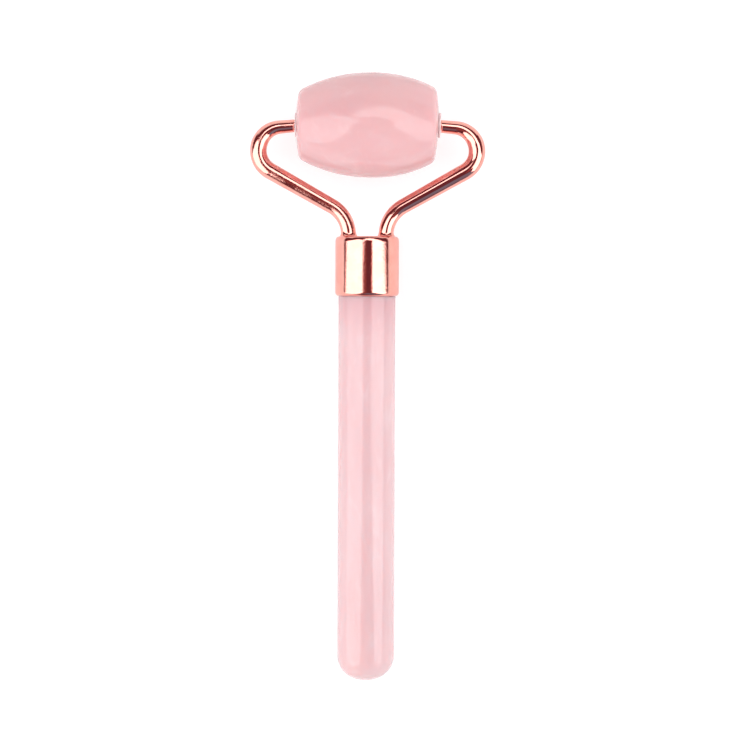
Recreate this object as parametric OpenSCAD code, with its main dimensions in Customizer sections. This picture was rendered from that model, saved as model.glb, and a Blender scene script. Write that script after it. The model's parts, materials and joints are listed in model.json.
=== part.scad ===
// Jade face roller: a crowned stone barrel that spins on a bent wire fork, set on a stone handle.
// It lies on a table, on the barrel's crown and the handle's domed end. X is the spin axis,
// +Y runs from the handle towards the barrel, and +Z is up. Millimetres and degrees.

/* [Roller stone] */
// Length of the barrel along the spin axis
roller_len = 33.6; // [31:0.2:36]
// Largest radius, at mid length
roller_r = 12.25; // [11.6:0.05:13]
// Radius of the barrel's lengthwise crown
crown_r = 28; // [25:0.5:50]
// Length of the straight land round the middle, which steadies the barrel on a table
land_len = 3; // [2.5:0.5:5]
// Radius of each slightly domed end face
end_face_r = 43; // [35:1:120]
// Radius that rounds each rim
rim_r = 2.2; // [2:0.1:3.6]
// Depth of the blind hole in each end
axle_hole_len = 8; // [7.5:0.5:12]

/* [Bushes] */
// Outer radius of a bush sleeve, which fills the stone's hole
bush_r = 2.3; // [2:0.1:2.6]
// Length of a bush sleeve inside the stone
bush_len = 6; // [5:0.5:7]
// Radius of a bush flange
flange_r = 2.85; // [2.7:0.05:3.2]
// Thickness of a bush flange
flange_t = 0.3; // [0.3:0.1:0.9]

/* [Fork] */
// Distance from the ferrule's top to the spin axis
fork_reach = 26.1; // [24:0.1:30]
// Radius of the rod at the foot and along the slope
rod_r = 1.75; // [1.5:0.05:1.8]
// Radius of the rod around the elbow, where the bend has thickened it
elbow_rod_r = 1.95; // [1.75:0.05:2]
// Radius of the rod's thin end beside the stone
rod_tip_r = 1.5; // [1.5:0.05:1.6]
// Radius of the axle journal at the rod's end
journal_r = 1.2; // [1:0.05:1.2]
// Length of each journal
journal_len = 6; // [4:0.5:7]
// Radial running clearance between a journal and its bush
running_gap = 0.05; // [0.02:0.01:0.1]
// End float between a bush flange and the rod's shoulder
end_float = 0.15; // [0.15:0.05:0.5]
// Distance of each arm's foot from the centre line
foot_x = 4.4; // [4:0.1:4.6]
// Centreline radius of the bend at the foot
foot_bend_r = 7.75; // [6:0.25:9]
// Distance of the elbow's centre from the centre line
elbow_x = 20.1; // [19.5:0.1:22]
// Centreline radius of the elbow
elbow_r = 5.5; // [5:0.05:6]
// Angle at which the thin end rises towards the stone
lean = 5; // [3:0.5:5.5]
// How far the thin end sits off the journal, towards the handle
tip_drop = 0.25; // [0:0.05:0.25]
// Width of the braze flare around each foot
flare_w = 0.65; // [0.4:0.05:0.65]
// Height of the braze flare
flare_h = 1; // [0.6:0.1:1.4]

/* [Ferrule] */
// Outer radius of the ferrule
ferrule_r = 7.5; // [7.5:0.1:8.2]
// Length of the ferrule
ferrule_len = 13.9; // [13:0.1:18]
// Thickness of the plate that holds the arms
top_t = 1.6; // [1.2:0.1:2.2]
// How far the feet stick out below that plate
foot_stub = 0.8; // [0.4:0.1:1]
// Space for glue between the plate and the handle's spigot
glue_pool = 1.5; // [1.2:0.1:2.5]
// Thickness of the glue around the spigot
glue_t = 0.1; // [0.05:0.01:0.15]
// How far the glue stops short of the ferrule's mouth
glue_recess = 0.3; // [0.2:0.1:1]

/* [Handle] */
// Radius of the stone rod
handle_r = 6.7; // [6.4:0.05:6.7]
// Length of the handle in sight
handle_len = 90.8; // [75:0.2:110]
// Radius of the domed end
dome_r = 7.9; // [7.2:0.1:12]
// Radius that rounds the dome into the rod
shoulder_r = 5.4; // [3.5:0.1:5.8]
// Radius of the spigot that is set into the ferrule
spigot_r = 6.35; // [6:0.05:6.35]
// Chamfer on the spigot's end
spigot_chamfer = 0.5; // [0.3:0.1:0.8]

/* [Hidden] */
$fn = 96;
// straight pieces of each rounded stretch of an outline
arc_steps = 10;
// rounding of the ferrule's top edge and of its mouth: width and height
top_edge = [0.6, 1.2];
mouth_edge = [0.8, 0.9];
// thickness that the flare's thin edges keep
flare_edge = 0.08;
journal_chamfer = 0.3;
// each straight stretch of an arm runs this far into a bend, and is this much thinner than it
overlap = 0.1;
seam = 0.02;

stone_pink = [0.95, 0.74, 0.76];
handle_pink = [0.97, 0.82, 0.84];
rose_gold = [0.86, 0.56, 0.47];
bush_pink = [0.96, 0.72, 0.68];
glue_clear = [0.93, 0.9, 0.82];

half_len = roller_len / 2;

// Where the rim's rounding meets the crown and the end face: its centre touches both from inside.
crown_c = [land_len / 2, roller_r - crown_r];
end_c = [half_len - end_face_r, 0];
rim_c = circles_meet(crown_c, crown_r - rim_r, end_c, end_face_r - rim_r);

// The domed end face has fallen back a little at the hole's rim, and the flange lies on it there.
flange_x = half_len - (end_face_r - sqrt(pow(end_face_r, 2) - pow(bush_r, 2)));
knee_x = flange_x + flange_t + end_float;

// The right arm's centreline in the XY plane, with the spin axis at y = 0.
plate_y = -fork_reach;
foot_top_y = plate_y + 0.4;
foot_end_y = plate_y - top_t - foot_stub;
foot_c = [foot_x + foot_bend_r, foot_top_y];
tip_end = [knee_x, -tip_drop];
elbow_top = tip_end.y - (elbow_x + elbow_r * sin(lean) - knee_x) * tan(lean);
elbow_c = [elbow_x, elbow_top - elbow_r * cos(lean)];
foot_to_elbow = elbow_c - foot_c;
// heading of the straight stretch, the inner common tangent of the two bends
slope = atan2(foot_to_elbow.y, foot_to_elbow.x) - asin((foot_bend_r + elbow_r) / norm(foot_to_elbow));
slope_start = foot_c + foot_bend_r * [cos(90 + slope), sin(90 + slope)];
slope_end = elbow_c + elbow_r * [cos(slope - 90), sin(slope - 90)];
tip_start = elbow_c + elbow_r * [cos(90 - lean), sin(90 - lean)];

// Distances down the handle from the spin axis.
mouth_s = fork_reach + ferrule_len;
set_in_s = fork_reach + top_t + glue_pool;
handle_end_s = mouth_s + handle_len;
socket_r = spigot_r + glue_t;
dome_c = handle_end_s - dome_r;
shoulder_in = handle_r - shoulder_r;
shoulder_c = dome_c + sqrt(pow(dome_r - shoulder_r, 2) - pow(shoulder_in, 2));

// The lean at which the crown and the handle's shoulder both touch the table.
shoulder_reach = norm([shoulder_c, shoulder_in]);
rest_tilt = asin((roller_r - shoulder_r) / shoulder_reach) - atan2(shoulder_in, shoulder_c);
// Half way between the barrel's front and the handle's end, along Y.
head_y = (dome_c * cos(rest_tilt) + dome_r - roller_r) / 2;

// Centre of the circle that stays ra from a and rb from b, on the right of the line from a to b.
function circles_meet(a, ra, b, rb) =
    let (gap = norm(b - a), u = (b - a) / gap, along = (ra * ra - rb * rb + gap * gap) / (2 * gap),
         off = sqrt(ra * ra - along * along))
    a + along * u + off * [u.y, -u.x];

function ring(c, rx, ry, from, to) =
    [for (i = [0:arc_steps]) let (t = from + (to - from) * i / arc_steps) c + [rx * cos(t), ry * sin(t)]];

function heading(c, p) = atan2(p.y - c.y, p.x - c.x);

// Points given as [along the axis, radius], turned into [radius, along the axis] for a revolve.
function swapped(points) = [for (p = points) [p.y, p.x]];

module at_rest() {
    translate([0, head_y, roller_r]) rotate([rest_tilt, 0, 0]) children();
}

// Side 1 is the right and side -1 the left.
module on_side(side) {
    if (side > 0) children();
    else mirror([1, 0, 0]) children();
}

module along_handle() {
    rotate([90, 0, 0]) children();
}

// A rod from one point of the XY plane to another, with a radius at each end.
module rod(from, to, r1, r2) {
    way = to - from;
    translate([from.x, from.y, 0]) rotate([0, 0, atan2(way.y, way.x)]) rotate([0, 90, 0])
        cylinder(r1 = r1, r2 = r2, h = norm(way));
}

module bend(c, bend_r, wire_r, from, to) {
    translate([c.x, c.y, 0]) rotate([0, 0, from]) rotate_extrude(angle = to - from)
        translate([bend_r, 0]) circle(r = wire_r);
}

module barrel() {
    face_turn = heading(end_c, rim_c);
    crown_turn = heading(crown_c, rim_c);
    right_half = concat(ring(end_c, end_face_r, end_face_r, 0, face_turn),
                        ring(rim_c, rim_r, rim_r, face_turn, crown_turn),
                        ring(crown_c, crown_r, crown_r, crown_turn, 90));
    last = len(right_half) - 1;
    left_half = [for (i = [last:-1:0]) [-right_half[i].x, right_half[i].y]];
    rotate([0, 90, 0]) rotate_extrude() polygon(swapped(concat(right_half, left_half)));
}

module roller_stone() {
    color(stone_pink) at_rest() difference() {
        barrel();
        for (side = [-1, 1]) on_side(side)
            translate([half_len - axle_hole_len, 0, 0]) rotate([0, 90, 0])
                cylinder(r = bush_r, h = axle_hole_len + 1);
    }
}

module bush(side) {
    bore_r = journal_r + running_gap;
    sleeve_x = flange_x - bush_len;
    color(bush_pink) at_rest() on_side(side) translate([sleeve_x, 0, 0]) rotate([0, 90, 0])
        rotate_extrude() polygon([
            [bore_r, 0], [bush_r, 0], [bush_r, bush_len], [flange_r, bush_len],
            [flange_r, bush_len + flange_t], [bore_r, bush_len + flange_t]]);
}

module foot() {
    rod([foot_x, foot_end_y], [foot_x, foot_top_y + overlap], rod_r, rod_r);
    bend(foot_c, foot_bend_r, rod_r + seam, 90 + slope, 180);
}

module arm_rod() {
    slope_way = overlap * [cos(slope), sin(slope)];
    tip_way = overlap * [-cos(lean), sin(lean)];
    foot();
    rod(slope_start - slope_way, slope_end + slope_way, rod_r, elbow_rod_r - seam);
    bend(elbow_c, elbow_r, elbow_rod_r, slope - 90, 90 - lean);
    rod(tip_start - tip_way, tip_end, elbow_rod_r - seam, rod_tip_r);
}

module journal() {
    straight = journal_len - journal_chamfer;
    translate([knee_x + end_float, 0, 0]) rotate([0, -90, 0]) {
        cylinder(r = journal_r, h = straight + end_float);
        translate([0, 0, straight + end_float])
            cylinder(r1 = journal_r, r2 = journal_r - journal_chamfer, h = journal_chamfer);
    }
}

module arm(side) {
    color(rose_gold) at_rest() on_side(side) union() {
        arm_rod();
        journal();
    }
}

module braze_fillet(side) {
    flare_r = rod_r + flare_edge;
    slope_line = ring([rod_r + flare_w, flare_h], flare_w - flare_edge, flare_h - flare_edge, 270, 180);
    color(rose_gold) at_rest() on_side(side) difference() {
        translate([foot_x, plate_y, 0]) rotate([-90, 0, 0]) rotate_extrude()
            polygon(concat([[0, 0], [rod_r + flare_w, 0]], slope_line, [[0, flare_h]]));
        foot();
    }
}

module ferrule() {
    top_c = [fork_reach + top_edge.y, ferrule_r - top_edge.x];
    mouth_c = [mouth_s - mouth_edge.y, ferrule_r - mouth_edge.x];
    outline = concat([[fork_reach, 0]], ring(top_c, top_edge.y, top_edge.x, 180, 90),
                     ring(mouth_c, mouth_edge.y, mouth_edge.x, 90, 0),
                     [[mouth_s, socket_r], [fork_reach + top_t, socket_r], [fork_reach + top_t, 0]]);
    color(rose_gold) at_rest() difference() {
        along_handle() rotate_extrude() polygon(swapped(outline));
        for (side = [-1, 1]) on_side(side)
            rod([foot_x, plate_y - top_t - 1], [foot_x, plate_y + 1], rod_r, rod_r);
    }
}

module handle_stone() {
    shoulder = [shoulder_c, shoulder_in];
    turn = heading([dome_c, 0], shoulder);
    outline = concat([[set_in_s, 0], [set_in_s, spigot_r - spigot_chamfer],
                      [set_in_s + spigot_chamfer, spigot_r], [mouth_s, spigot_r], [mouth_s, handle_r]],
                     ring(shoulder, shoulder_r, shoulder_r, 90, turn),
                     ring([dome_c, 0], dome_r, dome_r, turn, 0));
    color(handle_pink) at_rest() along_handle() rotate_extrude() polygon(swapped(outline));
}

module handle_adhesive() {
    plate_s = fork_reach + top_t;
    glue_end_s = mouth_s - glue_recess;
    outline = [[plate_s, 0], [plate_s, socket_r], [glue_end_s, socket_r], [glue_end_s, spigot_r],
               [set_in_s + spigot_chamfer, spigot_r], [set_in_s, spigot_r - spigot_chamfer],
               [set_in_s, 0]];
    color(glue_clear) at_rest() difference() {
        along_handle() rotate_extrude() polygon(swapped(outline));
        for (side = [-1, 1]) on_side(side)
            rod([foot_x, foot_end_y], [foot_x, plate_y], rod_r, rod_r);
    }
}

roller_stone();
bush(-1);  // left_bush
bush(1);  // right_bush
arm(-1);  // left_arm
arm(1);  // right_arm
braze_fillet(-1);  // left_braze_fillet
braze_fillet(1);  // right_braze_fillet
ferrule();
handle_stone();
handle_adhesive();
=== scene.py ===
"""The looks of the rose quartz face roller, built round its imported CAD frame.

Shapes are worked out in millimetres in the roller's own frame: the spin axis is X through the
origin, the handle runs along -Y and Z is up. REST then lays them down, in metres, as the CAD lies.
"""

import json
from math import asin, atan2, cos, hypot, pi, radians, sin, sqrt, tan

import bmesh
import bpy
from mathutils import Matrix, Vector, noise
from numpy import interp


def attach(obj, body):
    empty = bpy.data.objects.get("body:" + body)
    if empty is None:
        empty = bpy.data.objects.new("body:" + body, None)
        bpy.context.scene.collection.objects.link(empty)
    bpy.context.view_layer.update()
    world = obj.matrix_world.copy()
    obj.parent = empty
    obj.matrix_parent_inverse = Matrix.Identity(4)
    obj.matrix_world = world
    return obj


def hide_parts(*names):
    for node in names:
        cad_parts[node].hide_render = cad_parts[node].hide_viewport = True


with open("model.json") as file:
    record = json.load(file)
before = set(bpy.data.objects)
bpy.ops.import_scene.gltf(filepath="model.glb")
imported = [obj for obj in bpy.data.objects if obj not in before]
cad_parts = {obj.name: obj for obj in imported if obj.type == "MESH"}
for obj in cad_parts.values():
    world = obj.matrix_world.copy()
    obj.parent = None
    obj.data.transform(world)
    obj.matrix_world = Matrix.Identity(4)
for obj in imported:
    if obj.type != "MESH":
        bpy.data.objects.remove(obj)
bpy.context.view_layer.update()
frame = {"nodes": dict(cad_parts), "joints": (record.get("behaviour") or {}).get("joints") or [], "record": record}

MM = 0.001
SPIN = next(joint for joint in frame["joints"] if joint["name"] == "roller_spin")
GRIP = next(mount for mount in frame["record"]["mounts"] if mount["name"] == "handle_grip")
REST_TILT = asin(-GRIP["axis"][2])
REST = Matrix.Translation(SPIN["pos_m"]) @ Matrix.Rotation(REST_TILT, 4, "X") @ Matrix.Scale(MM, 4)


def reach(node, axis):
    """Where a CAD node starts and ends along a local axis, and its largest radius about it, in mm."""
    to_local = REST.inverted()
    points = [to_local @ vertex.co for vertex in frame["nodes"][node].data.vertices]
    along = [point[axis] for point in points]
    across = [hypot(point[(axis + 1) % 3], point[(axis + 2) % 3]) for point in points]
    return min(along), max(along), max(across)


X, Y = 0, 1

# What the frame says.
_, HALF_LEN, ROLLER_R = reach("roller_stone", X)
SLEEVE_X, FLANGE_END_X, FLANGE_R = reach("right_bush", X)
MOUTH_Y, PLATE_Y, FERRULE_R = reach("ferrule", Y)
HANDLE_END_Y, SET_IN_Y, _ = reach("handle_stone", Y)
FOOT_END_Y, _, _ = reach("right_arm", Y)
HANDLE_R = GRIP["dims"]["r_mm"]

# The barrel: radii of its crown, end faces and rims, the straight land round its middle, and its
# axle holes with their mouths and chamfered edges.
CROWN_R = 32
LAND_LEN = 1
END_FACE_R = 43
RIM_R = 2.2
AXLE_HOLE_LEN = 8
HOLE_MOUTH_LEN = 2
HOLE_CHAMFER = 0.15
HOLE_CORNER = 0.3
# How far the right end face was ground out of square, and by what share that end is fuller, and the
# left end slimmer, than a true barrel's.
FACE_LEAN = radians(1.6)
FULLER = 0.037
# How far the stone sits to the left of the fork's middle.
STONE_SHIFT = -0.12

# The bushes.
BUSH_R = 2.3
FLANGE_T = 0.3
BORE_R = 1.25

# The stones were ground by hand: how deep it left them uneven, and how near to the axis that comes.
GRIND_DEPTH = 0.03
GRIND_FROM_R = BUSH_R + 0.5

# The fork: rod radii along it, its two bends, and the journals on its ends.
ROD_R = 1.75
ELBOW_ROD_R = 1.95
TIP_R = 1.5
JOURNAL_R = 1.2
JOURNAL_LEN = 6
END_FLOAT = 0.15
FOOT_X = 4.4
FOOT_RISE = 0.4
FOOT_BEND_R = 7.75
ELBOW_X = 20.1
ELBOW_R = 5.5
LEAN = radians(5)
TIP_DROP = 0.25

# The braze metal at its foot, how far it runs out over the plate and up the rod.
FLARE_W = 0.65
FLARE_H = 1.0

# The ferrule: its plate, its bore and its rounded edges, each a width and a height.
PLATE_T = 1.6
SOCKET_R = 6.45
TOP_EDGE = (0.6, 1.2)
MOUTH_EDGE = (0.8, 0.9)

# The handle.
DOME_R = 7.9
SHOULDER_R = 5.4
SPIGOT_R = 6.35
# How far from the ferrule the handle's stone is painted a deeper pink: partly the glue showing through, partly
# painted shade from the ferrule.
GLUE_AND_SHADE_LEN = 12


# ---------------------------------------------------------------- shapes

def arc(centre, across, up, start, end, steps):
    """Points round an ellipse, from one angle to another, in radians."""
    angles = [start + (end - start) * i / steps for i in range(steps + 1)]
    return [(centre[0] + across * cos(a), centre[1] + up * sin(a)) for a in angles]


def heading(start, end):
    """The way from start to end, in radians."""
    return atan2(end[1] - start[1], end[0] - start[0])


def circles_meet(a, ra, b, rb):
    """Centre of the circle that stays ra from a and rb from b, to the right of the way from a to b."""
    gap = hypot(b[0] - a[0], b[1] - a[1])
    ux, uy = (b[0] - a[0]) / gap, (b[1] - a[1]) / gap
    along = (ra * ra - rb * rb + gap * gap) / (2 * gap)
    off = sqrt(ra * ra - along * along)
    return a[0] + along * ux + off * uy, a[1] + along * uy - off * ux


def finish_mesh(name, bm):
    """The bmesh as an object at rest, smooth between its creases."""
    bmesh.ops.recalc_face_normals(bm, faces=bm.faces)
    mesh = bpy.data.meshes.new(name)
    bm.to_mesh(mesh)
    bm.free()
    mesh.transform(REST)
    mesh.shade_smooth()
    mesh.set_sharp_from_angle(angle=radians(40))
    piece = bpy.data.objects.new(name, mesh)
    bpy.context.scene.collection.objects.link(piece)
    return piece


def skin(bm, rings, closed=False):
    """Faces between neighbouring rings of vertices. A ring of one vertex is a pole."""
    pairs = list(zip(rings, rings[1:]))
    if closed:
        pairs.append((rings[-1], rings[0]))
    for low, high in pairs:
        count = max(len(low), len(high))
        for i in range(count):
            corners = [low[i % len(low)], low[(i + 1) % len(low)],
                       high[(i + 1) % len(high)], high[i % len(high)]]
            bm.faces.new(list(dict.fromkeys(corners)))


def lathe(name, outline, place, closed=False, segments=192, reshape=None):
    """A revolved piece. outline holds (along, radius); place(along, radius, angle) gives the point."""
    bm = bmesh.new()
    rings = []
    for along, radius in outline:
        count = 1 if radius < 1e-6 else segments
        points = [place(along, radius, 2 * pi * i / segments) for i in range(count)]
        rings.append([bm.verts.new(reshape(p) if reshape else p) for p in points])
    skin(bm, rings, closed)
    return finish_mesh(name, bm)


def about_spin_axis(along, radius, angle):
    return Vector((along, radius * cos(angle), radius * sin(angle)))


def about_handle_axis(along, radius, angle):
    return Vector((radius * cos(angle), along, radius * sin(angle)))


def ground(point, axis, depth, size):
    """The point moved in towards the axis by up to depth, in lumps of about size millimetres."""
    inward = point.copy()
    inward[axis] = 0
    if inward.length < GRIND_FROM_R:
        return point
    share = 0.5 + 0.5 * noise.noise(point / size)
    return point - inward.normalized() * depth * share


# ---------------------------------------------------------------- pieces

def barrel_half():
    """The barrel's outline from the middle of its right end face to the middle of its land."""
    crown_c = (LAND_LEN / 2, ROLLER_R - CROWN_R)
    end_c = (HALF_LEN - END_FACE_R, 0)
    rim_c = circles_meet(crown_c, CROWN_R - RIM_R, end_c, END_FACE_R - RIM_R)
    face_turn = heading(end_c, rim_c)
    crown_turn = heading(crown_c, rim_c)
    hole_turn = asin((BUSH_R + HOLE_CHAMFER) / END_FACE_R)
    return (arc(end_c, END_FACE_R, END_FACE_R, hole_turn, face_turn, 8)
            + arc(rim_c, RIM_R, RIM_R, face_turn, crown_turn, 20)[1:]
            + arc(crown_c, CROWN_R, CROWN_R, crown_turn, pi / 2, 24)[1:])


def make_roller_stone():
    """The barrel, with a blind axle hole in each end face."""
    hole_end = HALF_LEN - AXLE_HOLE_LEN
    face_x = HALF_LEN - (END_FACE_R - sqrt(END_FACE_R ** 2 - BUSH_R ** 2))
    right = [(hole_end, 0), (hole_end, BUSH_R - HOLE_CORNER), (hole_end + HOLE_CORNER, BUSH_R),
             (face_x - HOLE_MOUTH_LEN, BUSH_R), (face_x - HOLE_CHAMFER, BUSH_R)] + barrel_half()
    outline = right + [(-along, radius) for along, radius in reversed(right)]

    def reshape(point):
        worn = ground(point, X, GRIND_DEPTH, size=9)
        radius = hypot(worn.y, worn.z)
        if radius > GRIND_FROM_R:
            fuller = min(1 + FULLER * point.x / HALF_LEN, ROLLER_R / radius)
            worn.y, worn.z = worn.y * fuller, worn.z * fuller
        share = max(0, (worn.x - HALF_LEN / 2) / (HALF_LEN / 2))
        worn.x += tan(FACE_LEAN) * worn.y * share + STONE_SHIFT
        return worn

    return lathe("roller_quartz_barrel", outline, about_spin_axis, segments=256, reshape=reshape)


def make_bush(side):
    """A sleeve with a flange, whose back is dished to lie on the stone's domed end face."""
    inner = FLANGE_END_X - FLANGE_T + min(0, side * STONE_SHIFT)
    outer = FLANGE_END_X
    back = inner - (FLANGE_R ** 2 - BUSH_R ** 2) / (2 * END_FACE_R)
    flange_from = inner - 0.05
    edge = 0.12
    back_edge = 0.03
    chamfer = 0.1
    outline = ([(SLEEVE_X, BORE_R), (SLEEVE_X, BUSH_R - chamfer), (SLEEVE_X + 2 * chamfer, BUSH_R),
                (inner, BUSH_R)]
               + arc((back + back_edge, FLANGE_R - back_edge), back_edge, back_edge, pi, pi / 2, 6)
               + arc((outer - edge, FLANGE_R - edge), edge, edge, pi / 2, 0, 6)
               + arc((outer - edge, BORE_R + edge), edge, edge, 0, -pi / 2, 6))

    def reshape(point):
        if side > 0 and point.x > flange_from:
            point.x += tan(FACE_LEAN) * point.y
        point.x *= side
        return point

    name = ("right" if side > 0 else "left") + "_flanged_bush"
    return lathe(name, outline, about_spin_axis, closed=True, segments=96, reshape=reshape)


def fork_stations():
    """The right arm as stations along its centreline: x, y, heading in radians, radius."""
    foot_chamfer = 0.15
    tip_len = 0.5
    tip_edge_w = 0.05
    tip_edge_len = 0.06
    journal_mouth = 2
    journal_chamfer = 0.3
    knee_x = FLANGE_END_X + END_FLOAT
    foot_top_y = PLATE_Y + FOOT_RISE
    foot_c = (FOOT_X + FOOT_BEND_R, foot_top_y)
    elbow_top = -TIP_DROP - (ELBOW_X + ELBOW_R * sin(LEAN) - knee_x) * tan(LEAN)
    elbow_y = elbow_top - ELBOW_R * cos(LEAN)
    way = heading(foot_c, (ELBOW_X, elbow_y))
    gap = hypot(ELBOW_X - foot_c[0], elbow_y - foot_c[1])
    slope = way - asin((FOOT_BEND_R + ELBOW_R) / gap)

    def around_elbow(share):
        """Rod radius at this share of the elbow: swollen in the bend, drawn thin at its end."""
        return float(interp(share, [0.15, 0.55, 0.85, 1.0], [ELBOW_ROD_R, ELBOW_ROD_R, 1.68, 1.56]))

    stations = [(FOOT_X, FOOT_END_Y, pi / 2, ROD_R - foot_chamfer),
                (FOOT_X, FOOT_END_Y + foot_chamfer, pi / 2, ROD_R), (FOOT_X, PLATE_Y, pi / 2, ROD_R)]
    steps = 24
    for i in range(steps + 1):
        turned = pi - (pi / 2 - slope) * i / steps
        stations.append((foot_c[0] + FOOT_BEND_R * cos(turned), foot_c[1] + FOOT_BEND_R * sin(turned),
                         turned - pi / 2, ROD_R))
    steps = 48
    start, end = slope - pi / 2, pi / 2 - LEAN
    first = (ELBOW_X + ELBOW_R * cos(start), elbow_y + ELBOW_R * sin(start))
    last = stations[-1]
    for share in (0.25, 0.5, 0.75):
        stations.append((last[0] + (first[0] - last[0]) * share, last[1] + (first[1] - last[1]) * share,
                         slope, ROD_R + (ELBOW_ROD_R - ROD_R) * share))
    for i in range(steps + 1):
        turned = start + (end - start) * i / steps
        stations.append((ELBOW_X + ELBOW_R * cos(turned), elbow_y + ELBOW_R * sin(turned),
                         turned + pi / 2, around_elbow(i / steps)))
    stations += [(knee_x + tip_len, -TIP_DROP - tip_len * tan(LEAN), pi - LEAN, TIP_R),
                 (knee_x + tip_edge_len, -TIP_DROP, pi, TIP_R),
                 (knee_x, -TIP_DROP, pi, TIP_R - tip_edge_w),
                 (knee_x, 0, pi, JOURNAL_R), (knee_x - journal_mouth, 0, pi, JOURNAL_R),
                 (knee_x - JOURNAL_LEN + journal_chamfer, 0, pi, JOURNAL_R),
                 (knee_x - JOURNAL_LEN, 0, pi, JOURNAL_R - journal_chamfer)]
    return stations


def make_arm(side):
    """A round rod swept through the stations, mirrored for the left side, with both ends capped."""
    segments = 96
    bm = bmesh.new()
    rings = []
    for x, y, turned, radius in fork_stations():
        across = Vector((-sin(turned), cos(turned), 0))
        ring = []
        for i in range(segments):
            angle = 2 * pi * i / segments
            outward = cos(angle) * across + sin(angle) * Vector((0, 0, 1))
            point = Vector((x, y, 0)) + radius * outward
            point.x *= side
            ring.append(bm.verts.new(point))
        rings.append(ring)
    for ring in (rings[0], rings[-1]):
        middle = sum((vertex.co for vertex in ring), Vector()) / segments
        skin(bm, [[bm.verts.new(middle)], ring])
    skin(bm, rings)
    return finish_mesh(("right" if side > 0 else "left") + "_fork_arm", bm)


def make_braze(side):
    """Solder drawn up round the foot of an arm: a hollow curve with thin edges, sunk a little way in."""
    inner = ROD_R - 0.1
    bottom = -0.08
    thin = 0.03
    outline = ([(bottom, inner), (bottom, ROD_R + FLARE_W)]
               + arc((FLARE_H, ROD_R + FLARE_W), FLARE_H - thin, FLARE_W - thin, pi, 3 * pi / 2, 14)
               + [(FLARE_H, inner)])

    def reshape(point):
        """Run the flare out and up a little unevenly round the rod, as solder sets."""
        angle = atan2(point.z, point.x)
        run = 1 + 0.05 * sin(2 * angle + 0.7) + 0.03 * sin(5 * angle)
        radius = hypot(point.x, point.z)
        wide = inner + (radius - inner) * run
        point.y = PLATE_Y + point.y * (1 + 0.12 * sin(3 * angle + side))
        point.x, point.z = FOOT_X + point.x * wide / radius, point.z * wide / radius
        point.x *= side
        return point

    name = ("right" if side > 0 else "left") + "_braze_flare"
    return lathe(name, outline, about_handle_axis, closed=True, segments=96, reshape=reshape)


def drill(piece, x, start, end, radius):
    """A round hole through the piece along the handle's direction."""
    tool = lathe("drill", [(start, 0), (start, radius), (end, radius), (end, 0)], about_handle_axis,
                 segments=96, reshape=lambda point: point + Vector((x, 0, 0)))
    cut = piece.modifiers.new("hole", "BOOLEAN")
    cut.operation = "DIFFERENCE"
    cut.solver = "EXACT"
    cut.object = tool
    with bpy.context.temp_override(object=piece):
        bpy.ops.object.modifier_apply(modifier=cut.name)
    bpy.data.objects.remove(tool)


def make_ferrule():
    """A drawn cup: its plate is on the fork's side, and its rounded mouth takes the handle."""
    top_c = (PLATE_Y - TOP_EDGE[1], FERRULE_R - TOP_EDGE[0])
    mouth_c = (MOUTH_Y + MOUTH_EDGE[1], FERRULE_R - MOUTH_EDGE[0])
    roof = PLATE_Y - PLATE_T
    lip = 0.12
    straight = 0.1
    past = 1
    outline = ([(PLATE_Y, 0)] + arc(top_c, TOP_EDGE[1], TOP_EDGE[0], 0, pi / 2, 16)
               + [(along, FERRULE_R) for along in
                  (top_c[0] - straight, (top_c[0] + mouth_c[0]) / 2, mouth_c[0] + straight)]
               + arc(mouth_c, MOUTH_EDGE[1], MOUTH_EDGE[0], pi / 2, pi, 16)
               + arc((MOUTH_Y + lip, SOCKET_R + lip), lip, lip, pi, 3 * pi / 2, 5)
               + [(roof, SOCKET_R), (roof, 0)])
    piece = lathe("ferrule_cup", outline, about_handle_axis)
    for side in (-1, 1):
        drill(piece, side * FOOT_X, roof - past, PLATE_Y + past, ROD_R)
    return piece


def make_handle():
    """A round rod with a domed end, and the spigot that is glued into the ferrule."""
    spigot_chamfer = 0.5
    step_edge = 0.1
    true_len = 0.5
    draw_out = 3
    rod_steps = 40
    dome_y = HANDLE_END_Y + DOME_R
    shoulder_in = HANDLE_R - SHOULDER_R
    shoulder_y = dome_y - sqrt((DOME_R - SHOULDER_R) ** 2 - shoulder_in ** 2)
    turn = heading((dome_y, 0), (shoulder_y, shoulder_in))
    rod = [MOUTH_Y + (shoulder_y - MOUTH_Y) * i / rod_steps for i in range(1, rod_steps)]
    outline = ([(SET_IN_Y, 0), (SET_IN_Y, SPIGOT_R - spigot_chamfer),
                (SET_IN_Y - spigot_chamfer, SPIGOT_R), (MOUTH_Y, SPIGOT_R),
                (MOUTH_Y, HANDLE_R - step_edge), (MOUTH_Y - step_edge, HANDLE_R)]
               + [(along, HANDLE_R) for along in rod]
               + arc((shoulder_y, shoulder_in), SHOULDER_R, SHOULDER_R, pi / 2, turn, 16)
               + arc((dome_y, 0), DOME_R, DOME_R, turn, pi, 20)[1:-1] + [(HANDLE_END_Y, 0)])

    def reshape(point):
        """Leave the end beside the ferrule true, and draw the grinding's lumps out along the rod."""
        if point.y > MOUTH_Y - true_len:
            return point
        squeezed = Vector((point.x, point.y / draw_out, point.z))
        shift = ground(squeezed, Y, GRIND_DEPTH, size=7) - squeezed
        return point + Vector((shift.x, 0, shift.z))

    return lathe("handle_quartz_rod", outline, about_handle_axis, reshape=reshape)


# ---------------------------------------------------------------- materials

def add(tree, kind, inputs=None, **settings):
    """A shader node with its settings, and with its inputs set to a value or linked to a socket."""
    node = tree.nodes.new(kind)
    for name, value in settings.items():
        setattr(node, name, value)
    for name, value in (inputs or {}).items():
        if isinstance(value, bpy.types.NodeSocket):
            tree.links.new(value, node.inputs[name])
        else:
            node.inputs[name].default_value = value
    return node


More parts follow.
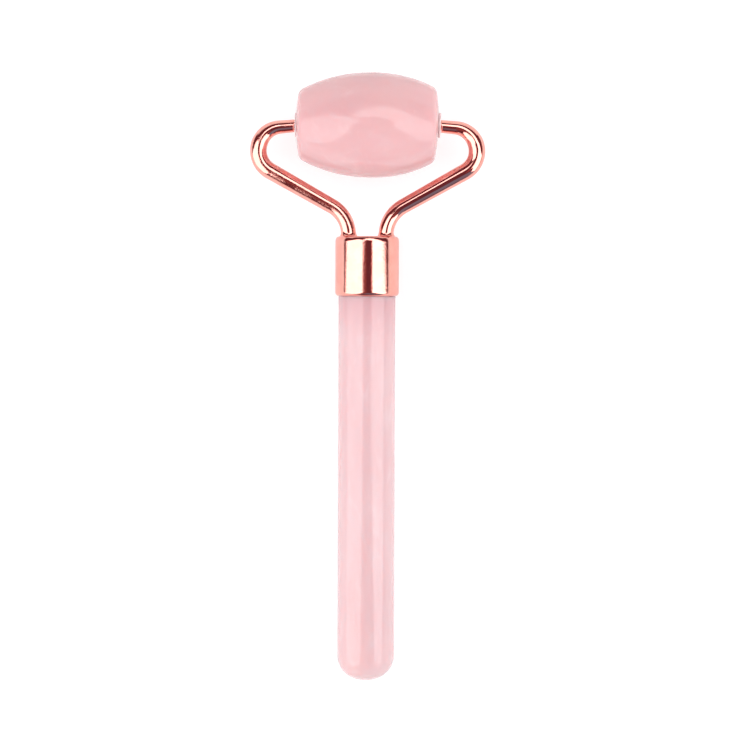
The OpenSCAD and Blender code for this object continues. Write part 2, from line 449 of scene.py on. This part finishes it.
def new_material(name):
    """An empty material with a Principled shader on its output, and the shader."""
    material = bpy.data.materials.new(name)
    material.use_nodes = True
    tree = material.node_tree
    tree.nodes.clear()
    shader = add(tree, "ShaderNodeBsdfPrincipled")
    add(tree, "ShaderNodeOutputMaterial", {"Surface": shader.outputs["BSDF"]})
    return material, tree, shader


def fill(tree, shader, **inputs):
    """Values or links for the shader's inputs, whose names are written with underscores."""
    for name, value in inputs.items():
        socket = shader.inputs[name.replace("_", " ")]
        if isinstance(value, bpy.types.NodeSocket):
            tree.links.new(value, socket)
        else:
            socket.default_value = value


def place_on(tree, stretch=(1, 1, 1), turn=(0, 0, 0), shift=(0, 0, 0)):
    """Rest-frame coordinates in millimetres, squeezed by stretch, then turned and shifted.

    A pattern drawn at them comes out stretched that much along each axis.
    """
    point = add(tree, "ShaderNodeTexCoord").outputs["Object"]
    scale = tuple(1 / (MM * s) for s in stretch)
    return add(tree, "ShaderNodeMapping", {"Vector": point, "Rotation": turn, "Scale": scale,
                                           "Location": shift}, vector_type="POINT").outputs["Vector"]


def noise_at(tree, place, size, detail=2.0, roughness=0.5, distortion=0.0):
    """Soft noise from 0 to 1 whose lumps are about size millimetres."""
    return add(tree, "ShaderNodeTexNoise",
               {"Vector": place, "Scale": 1 / size, "Detail": detail, "Roughness": roughness,
                "Distortion": distortion}).outputs["Fac"]


def spread(tree, value, low, high, start=0.0, end=1.0):
    """value from low to high, mapped to start to end and held there beyond."""
    return add(tree, "ShaderNodeMapRange", {"Value": value, "From Min": low, "From Max": high,
                                            "To Min": start, "To Max": end},
               interpolation_type="SMOOTHSTEP").outputs["Result"]


def blend_colours(tree, share, first, second):
    """first where share is 0 and second where it is 1. Either is a colour or a socket."""
    node = add(tree, "ShaderNodeMix", {"Factor": share}, data_type="RGBA")
    for socket, value in ((node.inputs[6], first), (node.inputs[7], second)):
        if isinstance(value, bpy.types.NodeSocket):
            tree.links.new(value, socket)
        else:
            socket.default_value = (*value, 1)
    return node.outputs[2]


def bump(tree, height, depth, onto=None):
    """A normal from a height of 0 to 1, which stands for depth millimetres."""
    inputs = {"Height": height, "Distance": depth * MM, "Strength": 1.0}
    if onto:
        inputs["Normal"] = onto
    return add(tree, "ShaderNodeBump", inputs).outputs["Normal"]


def quartz(name, body, deep, pale, warm, stretch, cloud, shine, glue_and_shade_pink=None):
    """Milky rose quartz: clouds of body and deep pink, pale wisps, warm patches and fine healed cracks.

    cloud is the clouds' size in millimetres, and stretch draws them out along an axis. shine is how
    strongly the polish mirrors. The last colour is a deeper pink painted beside the ferrule: partly the
    glue showing through the stone, partly painted shade where the ferrule keeps the light out.
    """
    material, tree, shader = new_material(name)
    place = place_on(tree, stretch=stretch, turn=(0.2, 0.1, 0.35))
    clouds = noise_at(tree, place, cloud, detail=3, roughness=0.55, distortion=0.4)
    colour = blend_colours(tree, spread(tree, clouds, 0.38, 0.68), deep, body)
    wisps = noise_at(tree, place, cloud * 0.45, detail=6, roughness=0.6, distortion=1.2)
    colour = blend_colours(tree, spread(tree, wisps, 0.5, 0.85), colour, pale)
    patches = noise_at(tree, place_on(tree, stretch=stretch, shift=(31, 7, 12)), cloud * 1.6, detail=2)
    colour = blend_colours(tree, spread(tree, patches, 0.52, 0.75, 0, 0.8), colour, warm)
    veins = add(tree, "ShaderNodeTexVoronoi",
                {"Vector": place, "Scale": 1 / (cloud * 1.4), "Randomness": 1.0},
                feature="DISTANCE_TO_EDGE").outputs["Distance"]
    cracks = spread(tree, veins, 0.0, 0.02, 1, 0)
    broken = add(tree, "ShaderNodeMath", {0: cracks, 1: spread(tree, wisps, 0.55, 0.65, 0, 0.35)},
                 operation="MULTIPLY").outputs["Value"]
    colour = blend_colours(tree, broken, colour, pale)
    # Painted shade: beside the ferrule the stone is blended to a deeper pink, partly for the glue showing through.
    if glue_and_shade_pink:
        along = add(tree, "ShaderNodeSeparateXYZ", {"Vector": place_on(tree)}).outputs["Y"]
        mouth = (REST @ Vector((0, MOUTH_Y, 0))).y / MM
        glue_and_shade_share = spread(tree, along, mouth - GLUE_AND_SHADE_LEN, mouth, 0, 0.9)
        colour = blend_colours(tree, glue_and_shade_share, colour, glue_and_shade_pink)
    polish = noise_at(tree, place_on(tree), 1.2, detail=4)
    rough = spread(tree, polish, 0.3, 0.7, 0.015, 0.05)
    normal = bump(tree, noise_at(tree, place_on(tree), 3, detail=1), 0.0007)
    fill(tree, shader, Base_Color=colour, Roughness=rough, IOR=1.54, Specular_IOR_Level=shine,
         Subsurface_Weight=1.0, Subsurface_Radius=(4.2, 2.8, 2.6), Subsurface_Scale=MM, Normal=normal)
    return material


def rose_gold(name, grain, rub=0.0, rub_turn=0.0):
    """Polished rose-gold plate: faint wiping marks, a grain, and streaks where it is rubbed.

    grain and rub are the depths of the grain and of the streaks in millimetres. The streaks are drawn
    out along X, from a noise that is turned by rub_turn.
    """
    material, tree, shader = new_material(name)
    place = place_on(tree)
    tarnish = noise_at(tree, place, 3, detail=3)
    colour = blend_colours(tree, spread(tree, tarnish, 0.35, 0.7),
                           (0.94, 0.415, 0.35), (0.97, 0.46, 0.39))
    wipes = noise_at(tree, place_on(tree, stretch=(1, 12, 1), turn=(0, 0, 0.05)), 0.25, detail=4)
    rough = spread(tree, wipes, 0.35, 0.75, 0.03, 0.1)
    ripple = bump(tree, noise_at(tree, place, 0.5, detail=4, roughness=0.65), grain)
    normal = bump(tree, noise_at(tree, place, 2.6, detail=1), 0.006, onto=ripple)
    if rub:
        patch = spread(tree, noise_at(tree, place, 5, detail=2), 0.38, 0.54)
        drawn_out = place_on(tree, stretch=(5, 1, 1), turn=(0, 0, rub_turn))
        streaks = noise_at(tree, drawn_out, 0.25, detail=5, roughness=0.7)
        worn = add(tree, "ShaderNodeMath", {0: patch, 1: streaks},
                   operation="MULTIPLY").outputs["Value"]
        normal = bump(tree, worn, rub, onto=normal)
    fill(tree, shader, Base_Color=colour, Metallic=1.0, Roughness=rough, Normal=normal)
    return material


def bush_plastic():
    """Pale pink acetal, turned smooth: faint lathe rings and a waxy depth."""
    material, tree, shader = new_material("blush_acetal")
    rings = noise_at(tree, place_on(tree, stretch=(0.5, 4, 4)), 0.4, detail=2)
    tint = noise_at(tree, place_on(tree), 1.5, detail=2)
    colour = blend_colours(tree, tint, (0.96, 0.7, 0.7), (0.97, 0.75, 0.75))
    rough = spread(tree, rings, 0.3, 0.7, 0.4, 0.55)
    fill(tree, shader, Base_Color=colour, Roughness=rough, IOR=1.48, Specular_IOR_Level=0.2,
         Subsurface_Weight=1.0, Subsurface_Radius=(0.4, 0.4, 0.4), Subsurface_Scale=MM,
         Normal=bump(tree, rings, 0.002))
    return material


def clear_adhesive():
    """Cured epoxy: faintly yellow, with trapped bubbles showing as bright specks."""
    material, tree, shader = new_material("cured_epoxy")
    apart = 0.6
    bubbles = add(tree, "ShaderNodeTexVoronoi",
                  {"Vector": place_on(tree), "Scale": 1 / apart}).outputs["Distance"]
    colour = blend_colours(tree, spread(tree, bubbles, 0.08, 0.16),
                           (0.95, 0.93, 0.88), (0.86, 0.78, 0.6))
    fill(tree, shader, Base_Color=colour, IOR=1.52, Transmission_Weight=0.7,
         Roughness=spread(tree, noise_at(tree, place_on(tree), 1.5), 0.3, 0.7, 0.12, 0.3))
    return material


# ---------------------------------------------------------------- studio

def emitter(name, colour, strength):
    """A material that only glows."""
    material = bpy.data.materials.new(name)
    material.use_nodes = True
    tree = material.node_tree
    tree.nodes.clear()
    glow = add(tree, "ShaderNodeEmission", {"Color": (*colour, 1), "Strength": strength})
    add(tree, "ShaderNodeOutputMaterial", {"Surface": glow.outputs["Emission"]})
    return material


def softbox(name, corners, strength, colour=(1, 1, 1)):
    """A glowing panel with these corners, in metres, that the camera doesn't see."""
    mesh = bpy.data.meshes.new(name)
    mesh.from_pydata([Vector(corner) for corner in corners], [], [range(len(corners))])
    panel = bpy.data.objects.new(name, mesh)
    bpy.context.scene.collection.objects.link(panel)
    mesh.materials.append(emitter(name + "_glow", colour, strength))
    panel.visible_camera = False
    return panel


def make_floor():
    """A white floor, part lit and part glowing, so that its shadows stay as pale as the studio's.

    It glows white where the panels' light runs out, so no horizon shows. What the stones and the metal
    see of it is a shade darker than what the camera sees.
    """
    mesh = bpy.data.meshes.new("floor")
    left = -0.6
    half = 4
    mesh.from_pydata([(left, -half, 0), (half, -half, 0), (half, half, 0), (left, half, 0)], [],
                     [(0, 1, 2, 3)])
    floor = bpy.data.objects.new("floor", mesh)
    bpy.context.scene.collection.objects.link(floor)
    material = bpy.data.materials.new("studio_white")
    material.use_nodes = True
    tree = material.node_tree
    tree.nodes.clear()
    seen = add(tree, "ShaderNodeLightPath").outputs["Is Camera Ray"]
    faint = add(tree, "ShaderNodeBsdfDiffuse", {"Color": (0.46, 0.435, 0.44, 1)})
    point = add(tree, "ShaderNodeTexCoord").outputs["Object"]
    away = add(tree, "ShaderNodeVectorMath", {0: point}, operation="LENGTH").outputs["Value"]
    fade = spread(tree, away, 0.12, 0.4, 0.66, 1.0)
    glow = add(tree, "ShaderNodeEmission", {"Color": (1, 1, 1, 1), "Strength": fade})
    pale = add(tree, "ShaderNodeAddShader", {0: faint.outputs["BSDF"], 1: glow.outputs["Emission"]})
    matt = add(tree, "ShaderNodeBsdfDiffuse", {"Color": (0.68, 0.67, 0.67, 1)})
    lift = add(tree, "ShaderNodeEmission", {"Color": (1, 1, 1, 1), "Strength": 0.31})
    white = add(tree, "ShaderNodeAddShader", {0: matt.outputs["BSDF"], 1: lift.outputs["Emission"]})
    look = add(tree, "ShaderNodeMixShader",
               {0: seen, 1: white.outputs["Shader"], 2: pale.outputs["Shader"]})
    add(tree, "ShaderNodeOutputMaterial", {"Surface": look.outputs["Shader"]})
    mesh.materials.append(material)


def make_world():
    """White behind everything the camera sees, and a dark room for reflections.

    The room is the colour of wine, with a slate patch on its near side.
    """
    world = bpy.data.worlds.new("studio")
    bpy.context.scene.world = world
    world.use_nodes = True
    tree = world.node_tree
    tree.nodes.clear()
    ray = add(tree, "ShaderNodeLightPath").outputs["Is Camera Ray"]
    towards = add(tree, "ShaderNodeTexCoord").outputs["Generated"]
    parts = add(tree, "ShaderNodeSeparateXYZ", {"Vector": towards}).outputs
    band = add(tree, "ShaderNodeMath",
               {0: spread(tree, parts["Y"], -0.9, -0.78), 1: spread(tree, parts["Y"], -0.45, -0.55)},
               operation="MULTIPLY").outputs["Value"]
    slate = add(tree, "ShaderNodeMath", {0: band, 1: spread(tree, parts["X"], -0.3, 0.0)},
                operation="MULTIPLY").outputs["Value"]
    room = blend_colours(tree, slate, (0.14, 0.045, 0.058), (0.19, 0.25, 0.36))
    seen = blend_colours(tree, ray, room, (1, 1, 1))
    back = add(tree, "ShaderNodeBackground", {"Color": seen, "Strength": 1.0})
    add(tree, "ShaderNodeOutputWorld", {"Surface": back.outputs["Background"]})


def upright(start, end, top):
    """Corners of a panel that stands on the floor from start to end, each an x and a y."""
    return [(*start, 0), (*end, 0), (*end, top), (*start, top)]


def level(left, near, right, far, height):
    """Corners of a level panel, with two sides along X and two along Y."""
    return [(left, near, height), (right, near, height), (right, far, height), (left, far, height)]


def make_lights():
    """Two side panels and an arch over the head leave a dark wedge, which two red gels warm.

    The wall and the cards show in the metal's edges. The fills don't show in anything that mirrors, and
    they lift the stones and the floor.
    """
    seam_near = (0.165, 0.08, 0.51)
    seam_far = (0.19, 0.37, 0.51)
    softbox("left_softbox",
            [(-0.05, 0.09, 0.56), (-0.34, 0.27, 0.56), (-0.44, 0.12, 0.3), (-0.7, 0, 0.05),
             (-0.7, -0.5, 0.05), (-0.42, -0.52, 0.41), (-0.26, -0.31, 0.56), (-0.15, -0.06, 0.56)],
            strength=2.4)
    softbox("right_softbox",
            [seam_near, seam_far, (0.34, 0.25, 0.51), (0.54, 0.06, 0.4), (0.7, 0, 0.2), (0.7, -0.5, 0.2),
             (0.44, -0.38, 0.42), (0.34, -0.19, 0.51), (0.165, -0.06, 0.51)],
            strength=2.6)
    softbox("head_softbox",
            [(-0.11, 0.14, 0.51), (0.05, 0.15, 0.51), seam_near, seam_far, (0.055, 0.43, 0.51),
             (-0.11, 0.24, 0.51)],
            strength=2.4)
    softbox("left_gel", level(-0.15, -0.3, -0.03, 0.03, 0.55), strength=1.0, colour=(0.27, 0.085, 0.085))
    softbox("right_gel", level(0.14, -0.12, 0.166, 0.08, 0.5), strength=1.0, colour=(0.72, 0.19, 0.17))
    softbox("far_wall", upright((-0.9, 0.8), (0.9, 0.8), 0.42), strength=1.0)
    softbox("near_card", upright((-0.75, -0.15), (-0.25, -0.85), 0.22), strength=0.95)
    right_card = softbox("right_card", upright((0.75, -1), (0.75, 1), 0.12), strength=1.0)
    right_card.visible_diffuse = False
    fills = (softbox("front_fill", upright((-1, -0.8), (1, -0.8), 0.9), strength=0.6),
             softbox("side_fill", upright((0.9, -0.8), (0.9, 0.8), 0.6), strength=0.9),
             softbox("top_fill", level(-0.3, -0.15, 0.3, 0.5, 0.8), strength=0.6))
    for panel in fills:
        panel.visible_glossy = False


def make_camera():
    """Straight above, a hair off the middle and a hair askew, as the view is."""
    lens = bpy.data.cameras.new("camera")
    lens.lens = 100
    lens.sensor_width = 36
    camera = bpy.data.objects.new("camera", lens)
    bpy.context.scene.collection.objects.link(camera)
    camera.location = (0.00195, 0.00071, 0.5)
    camera.rotation_euler = (0, 0, radians(0.25))
    bpy.context.scene.camera = camera


# ---------------------------------------------------------------- assembly

def settle(piece, body, node, material):
    """Give the piece its material, and tie it to the frame."""
    piece.data.materials.clear()
    piece.data.materials.append(material)
    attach(piece, body)
    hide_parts(node)


def make_roller():
    """What spins: the barrel and its two bushes."""
    stone = quartz("rose_quartz_barrel", body=(0.8, 0.512, 0.525), deep=(0.783, 0.494, 0.51),
                   pale=(0.83, 0.574, 0.582), warm=(0.815, 0.522, 0.525), stretch=(1, 1, 1), cloud=14,
                   shine=0.4)
    plastic = bush_plastic()
    settle(make_roller_stone(), "roller_assembly", "roller_stone", stone)
    settle(make_bush(-1), "roller_assembly", "left_bush", plastic)
    settle(make_bush(1), "roller_assembly", "right_bush", plastic)


def make_grip():
    """What is held: the fork, the ferrule, the handle and its glue. The left arm's plating is rubbed."""
    plate = rose_gold("rose_gold_plate", grain=0.005)
    rubbed = rose_gold("rose_gold_plate_rubbed", grain=0.006, rub=0.02, rub_turn=radians(29))
    drawn = rose_gold("rose_gold_plate_drawn", grain=0.018)
    for side, name, metal in ((-1, "left", rubbed), (1, "right", plate)):
        settle(make_arm(side), "handle_assembly", name + "_arm", metal)
        settle(make_braze(side), "handle_assembly", name + "_braze_fillet", plate)
    settle(make_ferrule(), "handle_assembly", "ferrule", drawn)
    # The handle is painted a deeper pink beside the ferrule: partly glue showing through, partly painted shade.
    stone = quartz("rose_quartz_handle", body=(0.79, 0.585, 0.603), deep=(0.775, 0.547, 0.567),
                   pale=(0.825, 0.645, 0.665), warm=(0.805, 0.535, 0.538), stretch=(1, 3, 1), cloud=10,
                   shine=0.5, glue_and_shade_pink=(0.72, 0.435, 0.465))
    settle(make_handle(), "handle_assembly", "handle_stone", stone)
    glue = frame["nodes"]["handle_adhesive"].data.materials
    glue.clear()
    glue.append(clear_adhesive())


make_camera()
make_world()
make_floor()
make_lights()
make_roller()
make_grip()
bpy.context.scene.view_settings.view_transform = "Standard"
